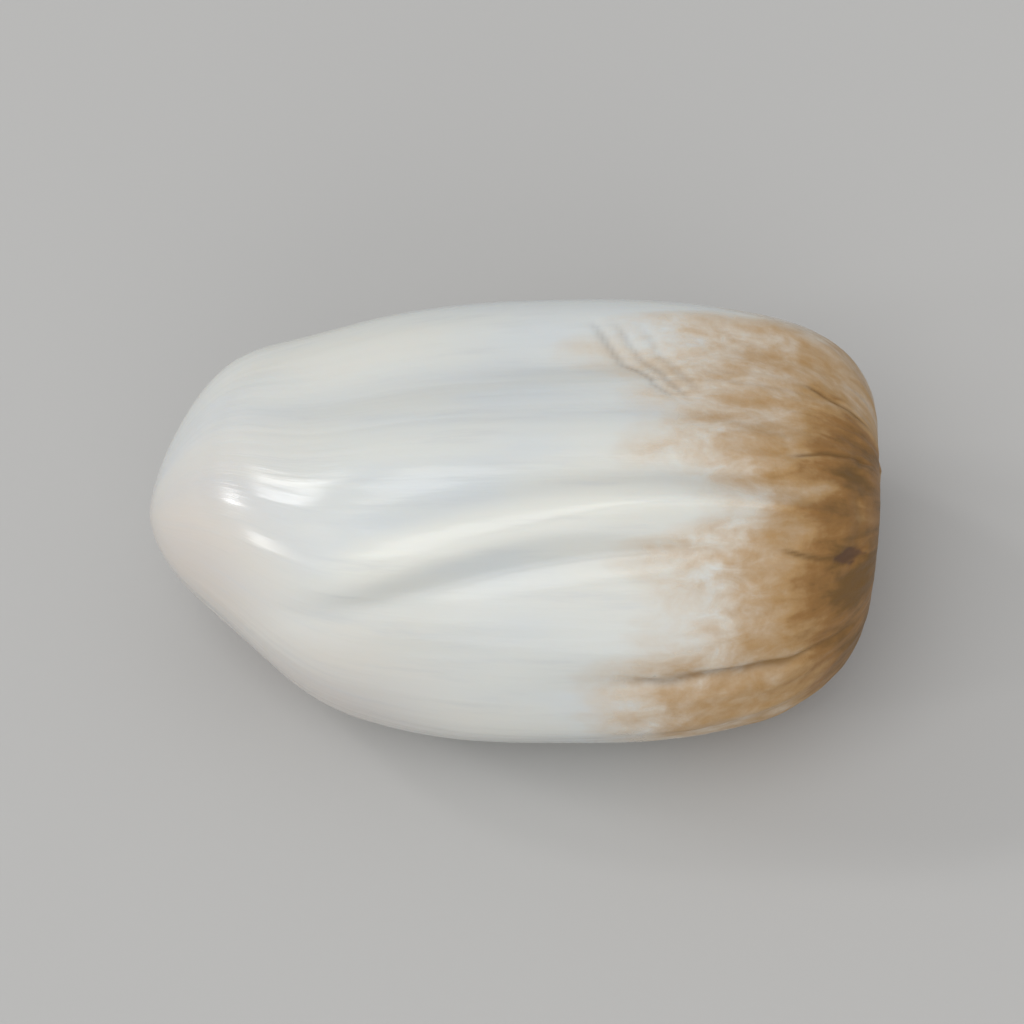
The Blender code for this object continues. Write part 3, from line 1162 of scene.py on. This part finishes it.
@dataclass
class Seed:
    """The whole seed: hull, ribs, notch and crown as one closed surface."""

    form: SeedForm = field(default_factory=SeedForm)
    notch: Notch = field(default_factory=Notch)
    crown: Crown = field(default_factory=Crown)
    stain: Stain = field(default_factory=Stain)
    fine: FineRelief = field(default_factory=FineRelief)
    finish: HullFinish = field(default_factory=HullFinish)
    half_side: int = 55
    half_rows: int = 85
    cap_share: float = 0.18
    level_slack: float = 1e-4
    edge_slack: float = 1e-6
    masks: dict[Mask, np.ndarray] = field(default_factory=dict)

    def block(self) -> bpy.types.Object:
        """Cut a cube into an even grid, finer along the seed than round it.

        Returns:
            The cut cube, two units wide.
        """
        bpy.ops.object.select_all(action="DESELECT")
        bpy.ops.mesh.primitive_cube_add(size=2.0)
        block = bpy.context.active_object
        block.name = "seed_coat"
        for cuts, lengthways in ((self.half_rows - 1, True), (self.half_side - 1, False)):
            self.select_edges(block, lengthways)
            bpy.ops.object.mode_set(mode="EDIT")
            bpy.ops.mesh.subdivide(number_cuts=cuts)
            bpy.ops.object.mode_set(mode="OBJECT")
        bpy.ops.object.mode_set(mode="EDIT")
        bpy.ops.mesh.select_all(action="SELECT")
        bpy.ops.mesh.subdivide(number_cuts=1)
        bpy.ops.object.mode_set(mode="OBJECT")
        return block

    def select_edges(self, block: bpy.types.Object, lengthways: bool) -> None:
        """Select the block's edges that run along X, or all the others.

        Args:
            block: The cut cube.
            lengthways: Whether the edges along X are wanted.
        """
        bpy.ops.object.mode_set(mode="EDIT")
        bpy.ops.mesh.select_mode(type="EDGE")
        bpy.ops.mesh.select_all(action="DESELECT")
        bpy.ops.object.mode_set(mode="OBJECT")
        points = block.data.vertices
        for edge in block.data.edges:
            first, second = (points[number].co for number in edge.vertices)
            edge.select = (abs(first.x - second.x) > self.level_slack) == lengthways

    def unroll(self, block: bpy.types.Object) -> Skin:
        """Give each point of the block its share along and girth angle.

        The block's -X face becomes the tip, its four sides the flanks and its +X face the crown.

        Args:
            block: The cut cube.

        Returns:
            Where each point goes.
        """
        cube = np.array([point.co for point in block.data.vertices], float)
        side = cube[:, 1] * np.sqrt(1.0 - cube[:, 2] ** 2 / 2)
        up = cube[:, 2] * np.sqrt(1.0 - cube[:, 1] ** 2 / 2)
        reach = np.hypot(side, up)
        girth = np.degrees(np.arctan2(-side, up))
        on_face = reach < 1.0 - self.edge_slack
        on_tip = on_face & (cube[:, 0] < 0)
        on_crown = on_face & (cube[:, 0] > 0)
        rise = np.sin(np.pi / 4 * (cube[:, 0] + 1.0))
        flank = self.cap_share + (1.0 - self.cap_share) * rise
        tip = self.cap_share * reach ** self.form.base_bluntness
        along = np.where(on_tip, tip, np.where(on_crown, 1.0, flank))
        return Skin(along, girth, np.where(on_crown, 1.0 - reach, 0.0), on_crown)

    def flank_work(self, skin: Skin) -> np.ndarray:
        """Work out the fine relief of the flanks and the masks that follow it.

        Args:
            skin: The points.

        Returns:
            Heights in metres to add to the radius.
        """
        fine = self.fine
        fibres = skin.fibres(self.form)
        sway = fine.sway.at(fibres)
        cover = self.stain.cover(skin, fine.fingers.at(fibres))
        wrinkles = fine.wrinkles.at(fibres)
        crumbs = fine.crumbs.at(fibres)
        threads = fine.thread_height * fine.threads.at(fibres) * (1.0 + cover)
        swell = fine.swell_height * fine.swell.at(fibres)
        folds = fine.fold_height * fine.folds.at(fibres) * ramp(skin.along, fine.fold_from, 1.0)
        seams = sum(seam.height(self.form, skin.along, skin.girth) for seam in fine.seams)
        height = fine.crest.height(self.form, skin.along, skin.girth) + seams
        height = height + (threads + swell) * ramp(skin.along, 0.0, fine.smooth_to)
        height = height + (fine.wrinkle_height * wrinkles + fine.crumb_height * crumbs) * cover + folds
        lines = np.zeros_like(skin.along)
        for crease in fine.creases:
            line = crease.line(self.form, skin, sway)
            height = height - crease.depth * line
            # painted shade in each crease, darker where the crease is steep
            lines = np.maximum(lines, line * crease.shade())
        spots = np.zeros_like(skin.along)
        for speck in fine.specks():
            spot = speck.spot(self.form, skin, fine.speck_fray * crumbs)
            height = height - speck.depth * spot
            spots = np.maximum(spots, spot)
        # painted shade: darker in the hollows of the wrinkles on the stained parts
        hollow = ramp(-wrinkles, *fine.hollow_step) * cover * fine.hollow_shade
        ridges = sum(ridge.height(self.form, skin.along, skin.girth) for ridge in RIDGES)
        self.masks[Mask.STAIN] = cover
        self.masks[Mask.DEEP] = self.stain.deep(skin, sway)
        # painted highlight: the higher the rib, the more of the lighter crest white
        self.masks[Mask.CREST_HIGHLIGHT] = ramp(ridges, *fine.crest_highlight_step)
        # painted shade: the deeper the groove, the more of the cooler groove grey
        self.masks[Mask.FLUTE_SHADE] = ramp(-ridges - seams, *fine.flute_shade_step)
        self.masks[Mask.CREASE] = np.maximum(lines, hollow) * ~skin.on_crown
        self.masks[Mask.SPECK] = spots
        return height

    def shape(self, skin: Skin, height: np.ndarray) -> np.ndarray:
        """Give each point its place, before the seed is laid down.

        Args:
            skin: The points.
            height: Fine relief to add to the flank's radius.

        Returns:
            Points in metres, with the tip near the origin.
        """
        form = self.form
        notch = self.notch
        crown = self.crown
        masks = self.masks
        radius = form.radius(skin.along, skin.girth) + height
        tube = skin.fibres(form)
        reach = notch.reach(form, skin, radius) + notch.raggedness * notch.fray.at(tube)
        flank = form.place(skin.along, skin.girth, radius - notch.sink(reach, notch.cork.at(tube)))
        middle = crown.middle(form)
        face = flank + (middle - flank) * skin.inward[:, None]
        aside = face[:, 1:] - middle[1:]
        scales = crown.scales.at(face)
        across = np.hypot(aside[:, 0], aside[:, 1]) + crown.wobble_height * crown.wobble.at(face)
        face[:, 0] = face[:, 0] + crown.relief(form, skin, aside, across, scales)
        masks[Mask.NOTCH] = (1.0 - ramp(reach, *notch.cork_edge)) * ~skin.on_crown
        # a flush round the notch, and painted shade at the tip end
        flushes_and_tip_shade = [patch.amount(skin.along, skin.girth) for patch in FLUSH_AND_TIP_SHADE_PATCHES]
        masks[Mask.FLUSH_AND_TIP_SHADE] = np.maximum.reduce([bell(reach / notch.blush_reach), *flushes_and_tip_shade]) * ~skin.on_crown
        masks[Mask.DISC] = (1.0 - ramp(across / crown.disc_radius, *crown.disc_edge)) * skin.on_crown
        masks[Mask.RING] = bell((across - crown.scar_radius) / crown.scar_band) * skin.on_crown
        # painted shade: darker in the moat round the ring scar, in the pits and in the hollows between the
        # scales
        moat = crown.moat_shade * bell((across - crown.moat_radius) / (crown.moat_line * crown.scar_band))
        hollows = crown.hollow_shade * ramp(-scales, *crown.hollow_step)
        lines = np.maximum.reduce([crown.pores(aside), moat, hollows])
        masks[Mask.CREASE] = np.where(skin.on_crown, lines, masks[Mask.CREASE])
        return np.where(skin.on_crown[:, None], face, flank)

    def lay_down(self, plain: np.ndarray, worked: np.ndarray) -> np.ndarray:
        """Pitch the seed, stand it where its solid is and flatten its resting spot.

        Args:
            plain: Points without fine relief, which give the place.
            worked: Points with fine relief.

        Returns:
            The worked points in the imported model's frame.
        """
        pitch = radians(-self.form.lying_pitch)
        turn = np.array([[cos(pitch), 0.0, sin(pitch)], [0.0, 1.0, 0.0], [-sin(pitch), 0.0, cos(pitch)]])
        plain = plain @ turn.T
        low = plain.min(axis=0)
        high = plain.max(axis=0)
        solid_low, solid_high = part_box("safflower_seed")
        shift = (np.array(solid_low) + np.array(solid_high) - low - high) / 2
        shift[2] = -low[2] - self.form.flat_depth
        laid = worked @ turn.T + shift
        laid[:, 2] = np.maximum(laid[:, 2], 0.0)
        return laid

    def build(self) -> bpy.types.Object:
        """Make the seed's surface, dress it and hand it to the frame.

        Returns:
            The seed coat.
        """
        block = self.block()
        skin = self.unroll(block)
        height = self.flank_work(skin)
        plain = self.shape(skin, np.zeros_like(height))
        places = self.lay_down(plain, self.shape(skin, height))
        data = block.data
        data.vertices.foreach_set("co", places.ravel())
        for mask, values in self.masks.items():
            layer = data.attributes.new(mask.value, "FLOAT", "POINT")
            layer.data.foreach_set("value", values.astype(float))
        layer = data.attributes.new(Grain.FIBRE.value, "FLOAT_VECTOR", "POINT")
        layer.data.foreach_set("vector", skin.fibres(self.form).ravel())
        data.update()
        bpy.ops.object.mode_set(mode="EDIT")
        bpy.ops.mesh.select_all(action="SELECT")
        bpy.ops.mesh.normals_make_consistent(inside=False)
        bpy.ops.object.mode_set(mode="OBJECT")
        bpy.ops.object.shade_smooth()
        data.materials.append(HullMaterial(self.finish).build())
        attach(block, "root")
        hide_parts("safflower_seed")
        return block


@dataclass(frozen=True)
class Lamp:
    """A soft square light that faces the seed."""

    name: str
    way: tuple[float, float, float]
    side: float
    power: float
    colour: tuple[float, float, float] = (1.0, 1.0, 1.0)


@dataclass
class Studio:
    """A plain pale floor that curves up all round, soft lights and the camera."""

    azimuth: float = 0.0
    elevation: float = 60.0
    lens: float = 90.0
    distance: float = 0.0265
    clip: tuple[float, float] = (0.5 * MM, 20.0)
    floor_side: float = 2.4
    floor_cuts: int = 96
    flat_reach: float = 0.02
    rim_reach: float = 1.15
    rim_height: float = 0.34
    floor: Shade = tone(184, 183, 181)
    floor_roughness: float = 0.9
    sky: Shade = (0.96, 0.975, 1.0, 1.0)
    sky_strength: float = 0.55
    lamp_distance: float = 0.30
    lamps: tuple[Lamp, ...] = (
        Lamp("key_light", (-0.30, -0.30, 0.91), 0.24, 0.36, (1.0, 0.995, 0.98)),
        Lamp("front_fill", (0.10, -0.94, 0.34), 0.26, 0.215),
        Lamp("window_pane", (-0.90, 0.17, 0.42), 0.044, 0.11),
        Lamp("window_top_pane", (-0.66, 0.32, 0.69), 0.030, 0.06),
        Lamp("window_low_pane", (-0.91, -0.30, 0.31), 0.026, 0.06),
    )

    def build_floor(self) -> bpy.types.Object:
        """Lay the floor.

        Returns:
            The floor, which is not part of the object.
        """
        bpy.ops.object.select_all(action="DESELECT")
        bpy.ops.mesh.primitive_grid_add(
            x_subdivisions=self.floor_cuts, y_subdivisions=self.floor_cuts, size=self.floor_side
        )
        floor = bpy.context.active_object
        floor.name = "floor"
        for point in floor.data.vertices:
            reach = point.co.xy.length
            share = min(max((reach - self.flat_reach) / (self.rim_reach - self.flat_reach), 0.0), 1.0)
            point.co.z = self.rim_height * share * share
        bpy.ops.object.shade_smooth()
        graph = Graph("floor_finish")
        graph.feed(graph.shader.inputs["Base Color"], self.floor)
        graph.feed(graph.shader.inputs["Roughness"], self.floor_roughness)
        floor.data.materials.append(graph.material)
        floor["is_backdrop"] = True
        return floor

    def build_sky(self) -> None:
        """Light the scene evenly from all round."""
        world = bpy.data.worlds.new("studio_sky")
        world.use_nodes = True
        background = world.node_tree.nodes["Background"]
        background.inputs["Color"].default_value = self.sky
        background.inputs["Strength"].default_value = self.sky_strength
        bpy.context.scene.world = world

    def build_lamps(self, middle: Vector) -> None:
        """Hang the lights round the seed.

        Args:
            middle: The point that they face.
        """
        for lamp in self.lamps:
            data = bpy.data.lights.new(lamp.name, "AREA")
            data.shape = "SQUARE"
            data.size = lamp.side
            data.energy = lamp.power
            data.color = lamp.colour
            light = bpy.data.objects.new(lamp.name, data)
            bpy.context.scene.collection.objects.link(light)
            way = Vector(lamp.way).normalized()
            light.location = middle + way * self.lamp_distance
            light.rotation_euler = way.to_track_quat("Z", "Y").to_euler()
            light.visible_camera = False

    def build_camera(self, middle: Vector) -> bpy.types.Object:
        """Point the camera at the seed.

        Args:
            middle: The point that it looks at.

        Returns:
            The camera.
        """
        data = bpy.data.cameras.new("camera")
        data.lens = self.lens
        data.clip_start, data.clip_end = self.clip
        camera = bpy.data.objects.new("camera", data)
        bpy.context.scene.collection.objects.link(camera)
        azimuth, elevation = radians(self.azimuth), radians(self.elevation)
        way = Vector((sin(azimuth) * cos(elevation), -cos(azimuth) * cos(elevation), sin(elevation)))
        camera.location = middle + way * self.distance
        camera.rotation_euler = way.to_track_quat("Z", "Y").to_euler()
        bpy.context.scene.camera = camera
        return camera


def main() -> None:
    """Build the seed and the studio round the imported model."""
    logging.basicConfig(level=logging.INFO, format="%(message)s")
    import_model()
    seed = Seed().build()
    LOG.info("%s: %d points", seed.name, len(seed.data.vertices))
    low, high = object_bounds()
    middle = (low + high) / 2
    studio = Studio()
    floor = studio.build_floor()
    LOG.info("%s laid", floor.name)
    studio.build_sky()
    studio.build_lamps(middle)
    camera = studio.build_camera(middle)
    bpy.context.scene.view_settings.view_transform = "Standard"
    LOG.info("%s: %.0f mm lens", camera.name, camera.data.lens)


if __name__ == "__main__":
    main()
